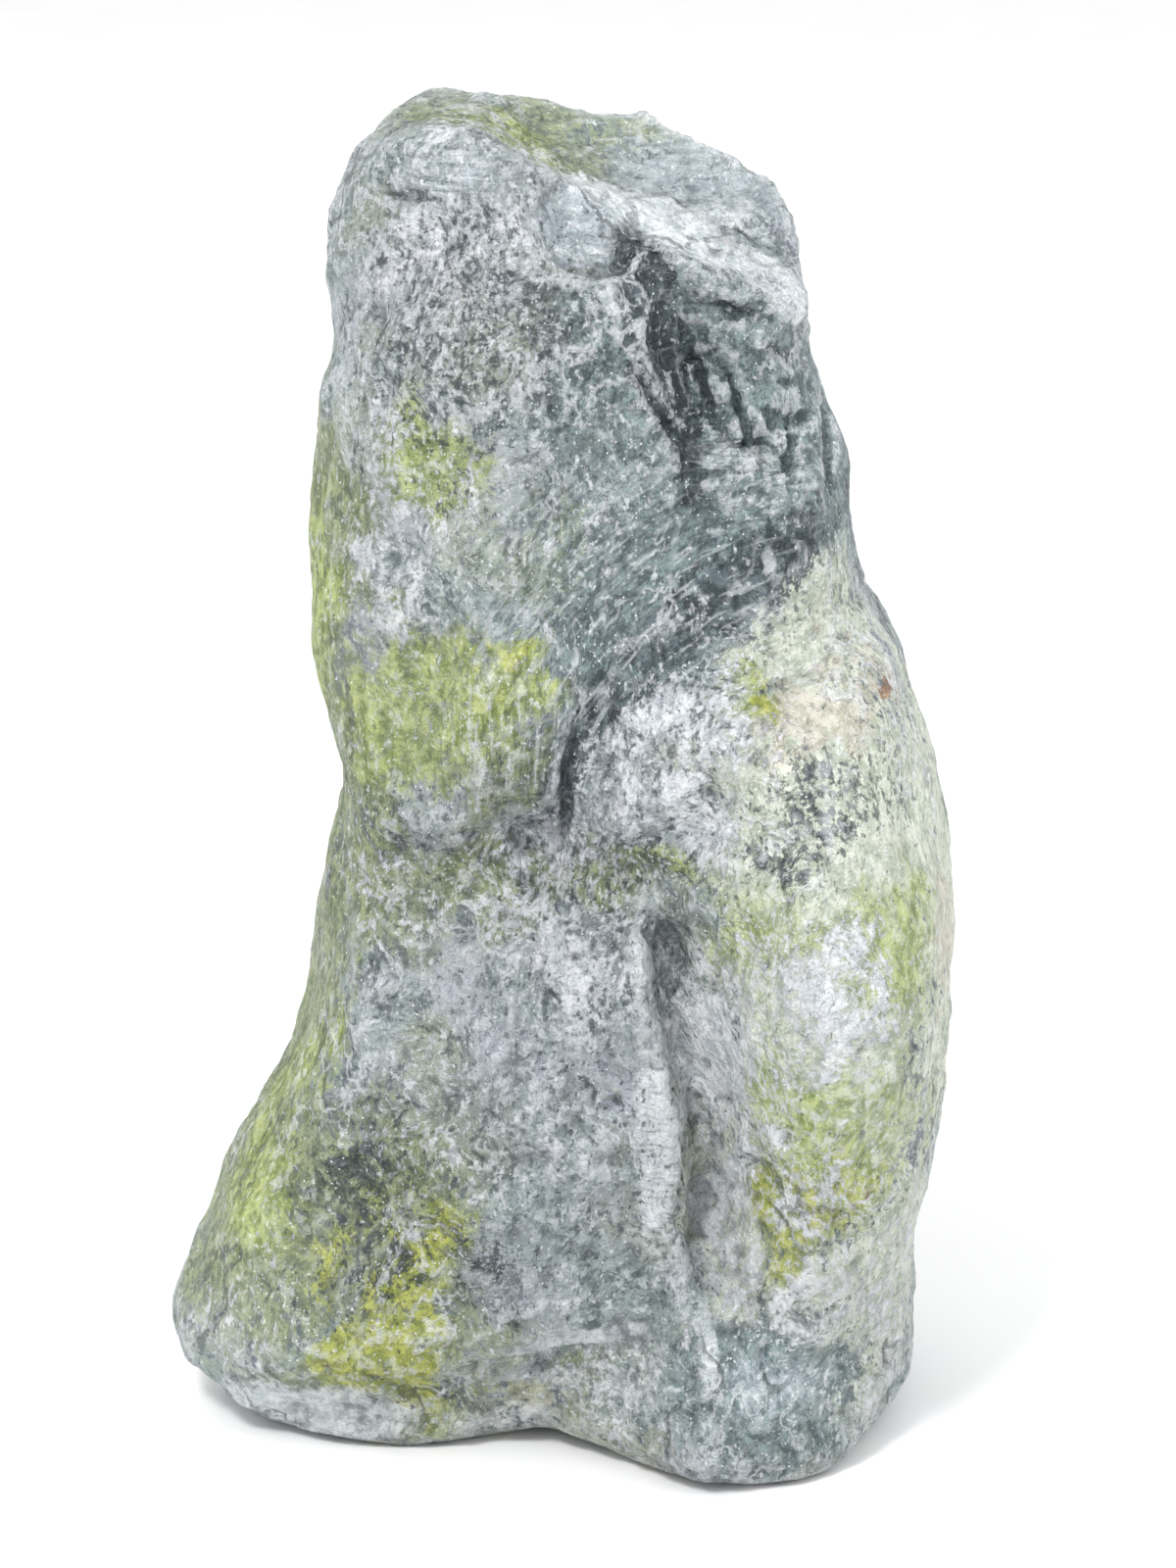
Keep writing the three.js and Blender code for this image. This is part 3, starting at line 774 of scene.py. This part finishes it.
@dataclass(frozen=True)
class SurfaceMasks:
    """The masks that the stone's finish reads: its traits, and where it is ridge or hollow."""

    ridge_rounds: int = 7
    ridge_height: float = 0.7
    shape_only: tuple[Trait, ...] = (Trait.PLATED,)

    def tree(self) -> bpy.types.NodeTree:
        """Writes the modifier that stores every mask on the mesh."""
        graph = MeshGraph("stone_masks")
        mesh = graph.mesh
        for trait in Trait:
            if trait not in self.shape_only:
                mesh = self.stored(graph, mesh, trait.value, graph.trait(trait))
        mesh = self.stored(graph, mesh, RIDGE_MASK, self.ridges(graph))
        return graph.finish(mesh)

    def stored(self, graph: MeshGraph, mesh: Feed, name: str, value: Feed) -> Socket:
        """Stores one mask on the mesh's points, by name."""
        feeds = {"Geometry": mesh, "Name": name, "Value": value}
        kept = graph.node(
            "GeometryNodeStoreNamedAttribute", feeds, data_type="FLOAT", domain="POINT"
        )
        return graph.result(kept)

    def ridges(self, graph: MeshGraph) -> Socket:
        """Reads how far a place stands out of its smoothed surroundings, from about -1 to 1."""
        feeds = {"Value": graph.place, "Iterations": self.ridge_rounds}
        blurred = graph.result(
            graph.node("GeometryNodeBlurAttribute", feeds, data_type="FLOAT_VECTOR")
        )
        offset = graph.vector("SUBTRACT", graph.place, blurred)
        out = graph.vector("DOT_PRODUCT", offset, graph.normal)
        return graph.math("DIVIDE", out, self.ridge_height)


@dataclass(frozen=True)
class EffectGroup:
    """A shader node group with named inputs and outputs, built once and placed where needed."""

    name: str
    inputs: tuple[tuple[str, str, float], ...]
    output: str

    def built(self) -> bpy.types.NodeTree:
        """Finds the group's tree, or writes it on first use."""
        found = bpy.data.node_groups.get(self.name)
        if found:
            return found
        tree = bpy.data.node_groups.new(self.name, "ShaderNodeTree")
        for name, kind, value in self.inputs:
            socket = tree.interface.new_socket(name, in_out="INPUT", socket_type=kind)
            if kind == "NodeSocketFloat":
                socket.default_value = value
        tree.interface.new_socket(self.output, in_out="OUTPUT", socket_type="NodeSocketFloat")
        graph = Graph(tree)
        entry = graph.node("NodeGroupInput")
        graph.node("NodeGroupOutput", {0: self.write(graph, entry)})
        return tree

    def write(self, graph: Graph, entry: bpy.types.Node) -> Socket:
        """Writes what the group works out. Each kind of effect has its own."""
        raise NotImplementedError

    def place(self, graph: Graph, **feeds: Feed) -> Socket:
        """Places the group in a material.

        Args:
            graph: The material's tree.
            **feeds: What each named input gets, its name in lower case.

        Returns:
            The group's output.
        """
        node = graph.node("ShaderNodeGroup", node_tree=self.built())
        for name, feed in feeds.items():
            graph.connect(feed, node.inputs[name.capitalize()])
        return node.outputs[self.output]


FLOAT = "NodeSocketFloat"
VECTOR = "NodeSocketVector"


class FleckGroup(EffectGroup):
    """Small ragged flecks, denser where more coverage is asked for."""

    grain: ClassVar[Pattern] = Pattern(1.0, 4.0, 0.62)
    bare_limit: ClassVar[float] = 0.72
    limit_fall: ClassVar[float] = 0.44

    def write(self, graph: Graph, entry: bpy.types.Node) -> Socket:
        """Cuts fine noise off at a height that leaves the asked share of the surface."""
        place = graph.vector(
            "DIVIDE", entry.outputs["Place"],
            graph.join(entry.outputs["Size"], entry.outputs["Size"], entry.outputs["Size"]),
        )
        grain = self.grain.read(graph, place)
        fall = graph.times(entry.outputs["Coverage"], self.limit_fall)
        limit = graph.math("SUBTRACT", self.bare_limit, fall)
        soft = entry.outputs["Softness"]
        low, high = (graph.math(way, limit, soft) for way in ("SUBTRACT", "ADD"))
        return graph.ramp(grain, low, high)


class RaggedGroup(EffectGroup):
    """Turns a soft mask into a stain with a granular, broken edge."""

    def write(self, graph: Graph, entry: bpy.types.Node) -> Socket:
        """Adds grain to the mask and cuts it near one half."""
        shake = graph.math("SUBTRACT", entry.outputs["Grain"], 0.5)
        shaken = graph.math(
            "MULTIPLY_ADD", shake, entry.outputs["Raggedness"], entry.outputs["Mask"]
        )
        soft = entry.outputs["Softness"]
        low, high = (graph.math(way, 0.5, soft) for way in ("SUBTRACT", "ADD"))
        return graph.ramp(shaken, low, high)


class GlintGroup(EffectGroup):
    """Painted glints: tiny near-white dots, a few in each hundred cells, standing for the sparkle
    of flakes.
    """

    core: ClassVar[Band] = (0.38, 0.12)

    def write(self, graph: Graph, entry: bpy.types.Node) -> Socket:
        """Lights the middle of the cells whose random number is high enough."""
        scale = graph.math("DIVIDE", 1.0, entry.outputs["Size"])
        feeds = {"Vector": entry.outputs["Place"], "Scale": scale}
        cells = graph.node("ShaderNodeTexVoronoi", feeds, feature="F1")
        chance = graph.split(cells.outputs[1])[0]
        limit = graph.math("SUBTRACT", 1.0, entry.outputs["Share"])
        chosen = graph.math("GREATER_THAN", chance, limit)
        return graph.times(chosen, graph.ramp(cells.outputs[0], *self.core))


FLECKS = FleckGroup(
    "flecks",
    (
        ("Place", VECTOR, 0), ("Size", FLOAT, 2.5),
        ("Coverage", FLOAT, 0.3), ("Softness", FLOAT, 0.04),
    ),
    "Mask",
)
RAGGED = RaggedGroup(
    "ragged_edge",
    (
        ("Mask", FLOAT, 0), ("Grain", FLOAT, 0.5),
        ("Raggedness", FLOAT, 1.4), ("Softness", FLOAT, 0.2),
    ),
    "Mask",
)
GLINTS = GlintGroup(
    "glints",
    (("Place", VECTOR, 0), ("Size", FLOAT, 1.6), ("Share", FLOAT, 0.05)),
    "Mask",
)


@dataclass(frozen=True)
class Stain:
    """A colour layer of the stone: where it lies, and the two colours it wavers between.

    Its thickness, in millimetres, is how far it stands up as a crust.
    """

    trait: Trait
    dark: Colour
    light: Colour
    strength: float = 0.85
    raggedness: float = 5.0
    softness: float = 0.17
    thickness: float = 0.0


@dataclass(frozen=True)
class Flecks:
    """Small flecks of one colour, some everywhere and more of them where a trait is strong."""

    trait: Trait
    colour: Colour
    size: float
    everywhere: float
    with_trait: float
    softness: float
    strength: float
    shift: Place = (0.0, 0.0, 0.0)


@dataclass(frozen=True)
class Veins:
    """Hair-thin lines of one colour that come and go, in millimetres.

    A height below zero is a cut.
    """

    colour: Colour
    spacing: float
    rarity: float
    strength: float
    height: float
    shift: Place

    detail: ClassVar[float] = 5.0
    fine: ClassVar[Band] = (-0.03, -0.008)
    patches: ClassVar[Pattern] = Pattern(28.0)
    patch_edge: ClassVar[float] = 0.1

    def line(self, graph: Graph, flow: Feed) -> Socket:
        """Reads where the lines run, from 0 to 1.

        Args:
            graph: The material's tree.
            flow: The place on the stone, drawn along its fibres.

        Returns:
            The lines' mask.
        """
        moved = graph.vector("ADD", flow, self.shift)
        thin = graph.ramp(graph.crests(moved, self.spacing, self.detail), *self.fine)
        patches = self.patches.read(graph, moved)
        here = graph.ramp(patches, self.rarity, self.rarity + self.patch_edge)
        return graph.times(thin, here)


@dataclass(frozen=True)
class SoapstoneFinish:
    """The look of the raw stone: mottled ground, stains, dust and flecks, with painted glints, and
    shade painted into its hollows and cracks.
    """

    ground_lilac: Colour = tint(178, 184, 191)
    ground_green: Colour = tint(152, 165, 162)
    ground_warm: Colour = tint(160, 168, 154)
    ground_dark: Colour = tint(86, 96, 102)
    ground_pale: Colour = tint(220, 224, 231)
    # Dark of the hairlines, and also of the painted shade laid in the hollows.
    line_and_shade_dark: Colour = tint(56, 66, 72)
    fleck_pale: Colour = tint(230, 234, 239)
    # Colour of the painted glints.
    painted_glint: Colour = tint(252, 253, 253)
    fibre: Place = (1.0, 1.0, 0.74)
    fibre_waves: Waves = ((30.0, 14.0),)
    grain: Pattern = Pattern(1.9, 5.0, 0.76)
    mottle: Pattern = Pattern(9.0, 6.0, 0.68, 0.2)
    clouds: Pattern = Pattern(42.0)
    cloud_edge: Band = (0.38, 0.62)
    warm_clouds: Pattern = Pattern(34.0, shift=(13.0, 71.0, 29.0))
    warm_edge: Band = (0.48, 0.66)
    dark_grains: Band = (0.49, 0.41)
    dark_share: float = 0.8
    pale_grains: Band = (0.50, 0.585)
    pale_share: float = 0.88
    stain_grain: Pattern = Pattern(3.6, 6.0, 0.76)
    stain_edge: Band = (0.41, 0.59)
    drifts: Pattern = Pattern(24.0, 2.0)
    drift_gain: float = 1.4
    drift_floor: float = 0.3
    dark_lines: Band = (-0.05, -0.18)
    dark_line_share: float = 0.5
    pale_lines: Band = (0.06, 0.19)
    pale_line_share: float = 0.45
    rubbed: Band = (0.15, 0.8)
    rubbed_grains: Band = (0.36, 0.6)
    rub_share: float = 0.6
    # Where the hollows get painted shade, and how much.
    hollow: Band = (-0.2, -1.0)
    hollow_shade_share: float = 0.42
    glint_size: float = 1.0
    glint_number: float = 0.065
    glint_share: float = 0.85
    dullness: float = 0.58
    grain_dullness: float = 0.3
    smooth_dullness: float = -0.16
    glint_dullness: float = -0.4
    grit_height: float = 1.3
    powder: Pattern = Pattern(0.9, 2.0)
    powder_height: float = 0.25
    hackle_size: float = 3.4
    hackle_height: float = 4.5
    hairline_height: float = 0.9
    smooth_loss: float = -0.6
    bump_reach: float = 1.4
    flecks: tuple[Flecks, ...] = (
        Flecks(Trait.PEPPER, tint(54, 64, 70), 2.0, 0.07, 0.36, 0.04, 0.74),
        Flecks(Trait.DUST, tint(232, 236, 241), 1.6, 0.2, 0.26, 0.045, 0.62, (91.0, 37.0, 53.0)),
    )
    veins: tuple[Veins, ...] = (
        Veins(tint(52, 62, 68), 19.0, 0.5, 0.55, -0.5, (47.0, 19.0, 83.0)),
        Veins(tint(232, 236, 241), 13.0, 0.48, 0.5, 0.35, (94.0, 19.0, 83.0)),
    )
    stains: tuple[Stain, ...] = (
        Stain(Trait.CREAM, tint(180, 190, 170), tint(226, 231, 215), 0.9),
        Stain(Trait.BLUE, tint(112, 124, 136), tint(190, 199, 209), 0.5),
        Stain(Trait.SLATE, tint(64, 82, 87), tint(136, 154, 156), 0.9),
        Stain(Trait.BLUSH, tint(182, 174, 158), tint(218, 210, 197), 0.7),
        Stain(Trait.OLIVE, tint(90, 103, 62), tint(156, 166, 120), 0.82, 4.0, 0.3),
        Stain(Trait.LIME, tint(126, 144, 66), tint(192, 203, 130), 0.82, 3.4, 0.3, 0.12),
        Stain(Trait.YELLOW, tint(144, 154, 58), tint(200, 205, 96), 0.84, 3.6, 0.28),
        Stain(Trait.INK, tint(32, 42, 48), tint(84, 97, 103), 0.9),
        Stain(Trait.DUST, tint(194, 199, 207), tint(240, 243, 247), 0.88, thickness=0.15),
        # Dark in the cracks: partly the stone's own dark, partly painted shade deep in them.
        Stain(Trait.CRACK, tint(30, 40, 46), tint(76, 88, 94), 0.75, 2.0),
        Stain(Trait.PLAIN, tint(146, 157, 164), tint(188, 197, 203), 0.85, 3.0),
        Stain(Trait.PALE, tint(190, 199, 203), tint(236, 241, 243), 0.92, 2.0, thickness=0.12),
        Stain(Trait.RUST, tint(130, 80, 50), tint(176, 130, 94), 0.8, 3.0),
    )

    def material(self) -> bpy.types.Material:
        """Writes the stone's material."""
        material = bpy.data.materials.new("raw_soapstone")
        material.use_nodes = True
        material.node_tree.nodes.clear()
        graph = Graph(material.node_tree)
        place = graph.scaled(graph.node("ShaderNodeTexCoord").outputs["Object"], 1 / MILLIMETRE)
        flow = graph.vector("MULTIPLY", graph.shaken(place, self.fibre_waves), self.fibre)
        grain = self.grain.read(graph, flow)
        mottle = self.mottle.read(graph, flow)
        colour = self.ground(graph, place, mottle, grain)
        shake = graph.times(graph.math("ADD", mottle, grain), 0.5)
        raised: list[Socket] = []
        for stain in self.stains:
            cover = self.cover(graph, stain, shake)
            colour = graph.blend(cover, colour, self.own_colour(graph, stain, flow))
            if stain.thickness:
                raised.append(graph.times(cover, stain.thickness))
        colour = self.flecked(graph, colour, flow)
        for veins in self.veins:
            line = veins.line(graph, flow)
            colour = self.laid(graph, line, veins.strength, colour, veins.colour)
            raised.append(graph.times(line, veins.height))
        colour = self.lined(graph, colour, place)
        colour = self.rubbed_and_shaded(graph, colour, grain)
        # Painted glints: near-white dots laid into the colour as sparkle; the roughness also drops
        # there.
        glints = GLINTS.place(graph, place=place, size=self.glint_size, share=self.glint_number)
        colour = self.laid(graph, glints, self.glint_share, colour, self.painted_glint)
        height = self.bump_height(graph, place, grain, raised)
        reach = self.bump_reach * MILLIMETRE
        bump = graph.node("ShaderNodeBump", {"Height": height, "Strength": 1.0, "Distance": reach})
        feeds = {
            "Base Color": colour,
            "Roughness": self.roughness(graph, grain, glints),
            "Normal": graph.result(bump),
        }
        shader = graph.node("ShaderNodeBsdfPrincipled", feeds)
        graph.node("ShaderNodeOutputMaterial", {"Surface": graph.result(shader)})
        return material

    def mask(self, graph: Graph, name: str) -> Socket:
        """Reads a mask that is stored on the stone's mesh."""
        return graph.node("ShaderNodeAttribute", attribute_name=name).outputs["Fac"]

    def laid(self, graph: Graph, mask: Feed, share: float, base: Feed, top: Feed) -> Socket:
        """Lays a colour over another where a mask says so, and covers at most the given share."""
        return graph.blend(graph.times(mask, share), base, top)

    def ground(self, graph: Graph, place: Feed, mottle: Feed, grain: Feed) -> Socket:
        """Mixes the bare stone's greys, from broad clouds down to grains."""
        broad = graph.ramp(self.clouds.read(graph, place), *self.cloud_edge)
        colour = graph.blend(broad, self.ground_lilac, self.ground_green)
        warm = graph.ramp(self.warm_clouds.read(graph, place), *self.warm_edge)
        colour = graph.blend(warm, colour, self.ground_warm)
        both = graph.times(graph.math("ADD", mottle, grain), 0.5)
        dark = graph.ramp(both, *self.dark_grains)
        pale = graph.ramp(both, *self.pale_grains)
        colour = self.laid(graph, dark, self.dark_share, colour, self.ground_dark)
        return self.laid(graph, pale, self.pale_share, colour, self.ground_pale)

    def cover(self, graph: Graph, stain: Stain, shake: Feed) -> Socket:
        """Reads how fully a stain covers what lies under it."""
        mask = RAGGED.place(
            graph,
            mask=self.mask(graph, stain.trait.value),
            grain=shake,
            raggedness=stain.raggedness,
            softness=stain.softness,
        )
        return graph.times(mask, stain.strength)

    def own_colour(self, graph: Graph, stain: Stain, flow: Feed) -> Socket:
        """Mixes a stain's two colours, grain by grain."""
        wave = graph.ramp(self.stain_grain.read(graph, flow), *self.stain_edge)
        return graph.blend(wave, stain.dark, stain.light)

    def flecked(self, graph: Graph, colour: Feed, flow: Feed) -> Socket:
        """Scatters the flecks, in drifts and where their trait is strong."""
        clouds = self.drifts.read(graph, flow)
        drifts = graph.math("MULTIPLY_ADD", clouds, self.drift_gain, self.drift_floor)
        for flecks in self.flecks:
            here = self.mask(graph, flecks.trait.value)
            share = graph.math("MULTIPLY_ADD", here, flecks.with_trait, flecks.everywhere)
            mask = FLECKS.place(
                graph,
                place=graph.vector("ADD", flow, flecks.shift),
                size=flecks.size,
                coverage=graph.times(share, drifts),
                softness=flecks.softness,
            )
            colour = self.laid(graph, mask, flecks.strength, colour, flecks.colour)
        return colour

    def lined(self, graph: Graph, colour: Feed, place: Feed) -> Socket:
        """Draws pale and dark hairlines along the streaks."""
        for trait, streaks in HAIRLINES.items():
            swing = streaks.swing(graph, place)
            mask = self.mask(graph, trait.value)
            dark = graph.times(graph.ramp(swing, *self.dark_lines), mask)
            pale = graph.times(graph.ramp(swing, *self.pale_lines), mask)
            colour = self.laid(graph, dark, self.dark_line_share, colour, self.line_and_shade_dark)
            colour = self.laid(graph, pale, self.pale_line_share, colour, self.fleck_pale)
        return colour

    def rubbed_and_shaded(self, graph: Graph, colour: Feed, grain: Feed) -> Socket:
        """Pales the ridges that rub against things, and darkens the hollows with painted shade."""
        ridge = self.mask(graph, RIDGE_MASK)
        grains = graph.ramp(grain, *self.rubbed_grains)
        rub = graph.times(graph.ramp(ridge, *self.rubbed), grains)
        # Painted shade: the hollows darken by how far they sink below their smoothed surroundings.
        hollow_shade = graph.ramp(ridge, *self.hollow)
        colour = self.laid(graph, rub, self.rub_share, colour, self.fleck_pale)
        return self.laid(graph, hollow_shade, self.hollow_shade_share, colour, self.line_and_shade_dark)

    def roughness(self, graph: Graph, grain: Feed, glints: Feed) -> Socket:
        """Reads how dull the stone is: its grains differ, and smooth places and glints shine."""
        dull = graph.math("MULTIPLY_ADD", grain, self.grain_dullness, self.dullness)
        smooth = self.mask(graph, Trait.SMOOTH.value)
        silk = graph.times(smooth, self.smooth_dullness)
        spark = graph.times(glints, self.glint_dullness)
        return graph.total([dull, silk, spark])

    def bump_height(
        self, graph: Graph, place: Feed, grain: Feed, raised: list[Socket]
    ) -> Socket:
        """Reads the height of the finest grain, hairlines, veins and crusts."""
        smooth = self.mask(graph, Trait.SMOOTH.value)
        rough = graph.math("MULTIPLY_ADD", smooth, self.smooth_loss, 1.0)
        grit = graph.times(grain, self.grit_height, rough)
        powder = graph.times(self.powder.read(graph, place), self.powder_height)
        crests = graph.crests(place, self.hackle_size)
        hackles = graph.times(crests, self.hackle_height, rough)
        lines = []
        for trait, streaks in HAIRLINES.items():
            swing = streaks.swing(graph, place)
            lines.append(graph.times(swing, self.hairline_height, self.mask(graph, trait.value)))
        return graph.total([grit, powder, hackles, *lines, *raised])


@dataclass
class SoapstoneBlock:
    """The whole block: a dense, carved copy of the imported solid, in its place."""

    name: str = "raw_soapstone_block"
    merge_distance: float = 0.00001
    grain_size: float = 0.00156
    smoothing_rounds: int = 3
    smoothing_factor: float = 0.5
    flat_below: float = 0.6
    relief: Relief = field(default_factory=Relief)
    masks: SurfaceMasks = field(default_factory=SurfaceMasks)
    finish: SoapstoneFinish = field(default_factory=SoapstoneFinish)
    piece: bpy.types.Object | None = None

    def build(self) -> bpy.types.Object:
        """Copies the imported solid, carves it, dresses it and puts it on its body."""
        self.piece = self.copy_of_solid()
        self.merge()
        self.apply("REMESH", mode="VOXEL", voxel_size=self.grain_size)
        self.apply("SMOOTH", factor=self.smoothing_factor, iterations=self.smoothing_rounds)
        self.apply("NODES", node_group=self.relief.tree())
        self.apply("NODES", node_group=self.masks.tree())
        self.stand_flat()
        bpy.ops.object.shade_smooth()
        self.piece.data.materials.clear()
        self.piece.data.materials.append(self.finish.material())
        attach(self.piece, BODY)
        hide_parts(NODE)
        return self.piece

    def copy_of_solid(self) -> bpy.types.Object:
        """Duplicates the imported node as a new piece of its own."""
        bpy.ops.object.select_all(action="DESELECT")
        solid = frame["nodes"][NODE]
        solid.select_set(True)
        bpy.context.view_layer.objects.active = solid
        bpy.ops.object.duplicate()
        bpy.ops.object.parent_clear(type="CLEAR_KEEP_TRANSFORM")
        copy = bpy.context.view_layer.objects.active
        copy.name = copy.data.name = self.name
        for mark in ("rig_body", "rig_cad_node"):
            del copy[mark]
        return copy

    def merge(self) -> None:
        """Joins the loose triangles into one closed surface."""
        bpy.ops.object.mode_set(mode="EDIT")
        bpy.ops.mesh.select_all(action="SELECT")
        bpy.ops.mesh.remove_doubles(threshold=self.merge_distance)
        bpy.ops.object.mode_set(mode="OBJECT")

    def apply(self, kind: str, **settings: object) -> None:
        """Adds a modifier to the stone and applies it.

        Args:
            kind: Blender's name of the modifier type.
            **settings: The modifier's settings.
        """
        bpy.ops.object.modifier_add(type=kind)
        modifier = self.piece.modifiers[-1]
        for name, value in settings.items():
            setattr(modifier, name, value)
        bpy.ops.object.modifier_apply(modifier=modifier.name)

    def stand_flat(self) -> None:
        """Presses what lies below the table, or hardly above it, level with it."""
        near = self.flat_below * MILLIMETRE
        for vertex in self.piece.data.vertices:
            if vertex.co.z < near:
                vertex.co.z = 0.0


@dataclass
class Table:
    """The plain pale surface that the block stands on."""

    width: float = 9.0
    colour: Colour = tint(250, 250, 250)
    speckle: Colour = tint(248, 248, 249)
    dullness: float = 0.85
    speckle_size: float = 60.0
    speckle_share: float = 0.5
    speckle_softness: float = 0.2

    def build(self) -> bpy.types.Object:
        """Makes the table top."""
        bpy.ops.object.select_all(action="DESELECT")
        bpy.ops.mesh.primitive_plane_add(size=self.width)
        top = bpy.context.object
        top.name = "table"
        top.data.materials.append(self.material())
        return top

    def material(self) -> bpy.types.Material:
        """Writes a plain matt white with a trace of mottling."""
        material = bpy.data.materials.new("pale_table")
        material.use_nodes = True
        material.node_tree.nodes.clear()
        graph = Graph(material.node_tree)
        place = graph.scaled(graph.node("ShaderNodeTexCoord").outputs["Object"], 1 / MILLIMETRE)
        flecks = FLECKS.place(
            graph,
            place=place,
            size=self.speckle_size,
            coverage=self.speckle_share,
            softness=self.speckle_softness,
        )
        feeds = {
            "Base Color": graph.blend(flecks, self.colour, self.speckle),
            "Roughness": self.dullness,
        }
        shader = graph.node("ShaderNodeBsdfPrincipled", feeds)
        graph.node("ShaderNodeOutputMaterial", {"Surface": graph.result(shader)})
        return material


@dataclass(frozen=True)
class SoftLight:
    """One big soft lamp of the studio, aimed at the block."""

    name: str
    place: Place
    width: float
    watts: float
    aim: Place = (0.0, 0.0, 0.17)

    def build(self) -> bpy.types.Object:
        """Hangs the lamp and turns it towards the block."""
        bpy.ops.object.light_add(type="AREA", location=self.place)
        lamp = bpy.context.object
        lamp.name = self.name
        lamp.data.shape = "SQUARE"
        lamp.data.size = self.width
        lamp.data.energy = self.watts
        way = Vector(self.aim) - Vector(self.place)
        lamp.rotation_euler = way.to_track_quat("-Z", "Y").to_euler()
        return lamp


@dataclass
class Studio:
    """The light round the block: a key, a weaker side light, a wide ceiling and a white room."""

    lamps: tuple[SoftLight, ...] = (
        SoftLight("key_light", (-0.5, -1.1, 1.6), 0.35, 20.0),
        SoftLight("side_light", (1.4, -0.5, 0.9), 0.8, 5.0),
        SoftLight("ceiling_light", (0.0, 0.0, 2.6), 6.0, 64.0, (0.0, 0.0, 0.0)),
    )
    room_strength: float = 0.72

    def build(self) -> None:
        """Sets up the lamps, the room and a plain view of the colours."""
        for lamp in self.lamps:
            lamp.build()
        world = bpy.data.worlds.new("white_room")
        world.use_nodes = True
        background = world.node_tree.nodes["Background"]
        background.inputs["Color"].default_value = (1.0, 1.0, 1.0, 1.0)
        background.inputs["Strength"].default_value = self.room_strength
        bpy.context.scene.world = world
        bpy.context.scene.view_settings.view_transform = "Standard"


@dataclass(frozen=True)
class StudioCamera:
    """A long lens that looks a little down at the front of the block."""

    aim: Place = (7.32, 11.41, 164.0)
    distance: float = 1300.0
    elevation: float = 18.0
    lens: float = 117.0
    sensor: float = 36.0
    clip: Band = (0.05, 50.0)

    def build(self) -> bpy.types.Object:
        """Places the camera and makes it the scene's own."""
        tilt = math.radians(self.elevation)
        back = Vector((0.0, -math.cos(tilt), math.sin(tilt)))
        place = (Vector(self.aim) + back * self.distance) * MILLIMETRE
        bpy.ops.object.camera_add(location=place)
        camera = bpy.context.object
        camera.name = "studio_camera"
        camera.rotation_euler = (-back).to_track_quat("-Z", "Y").to_euler()
        camera.data.lens = self.lens
        camera.data.sensor_width = self.sensor
        camera.data.clip_start, camera.data.clip_end = self.clip
        bpy.context.scene.camera = camera
        return camera


def main() -> None:
    """Builds the block, then the table, the light and the camera."""
    logging.basicConfig(level=logging.INFO, format="%(name)s: %(message)s")
    block = SoapstoneBlock().build()
    LOG.info("%s: %d faces", block.name, len(block.data.polygons))
    table = Table().build()
    LOG.info("%s: laid out", table.name)
    Studio().build()
    LOG.info("studio light: set")
    camera = StudioCamera().build()
    LOG.info("%s: placed", camera.name)


if __name__ == "__main__":
    main()
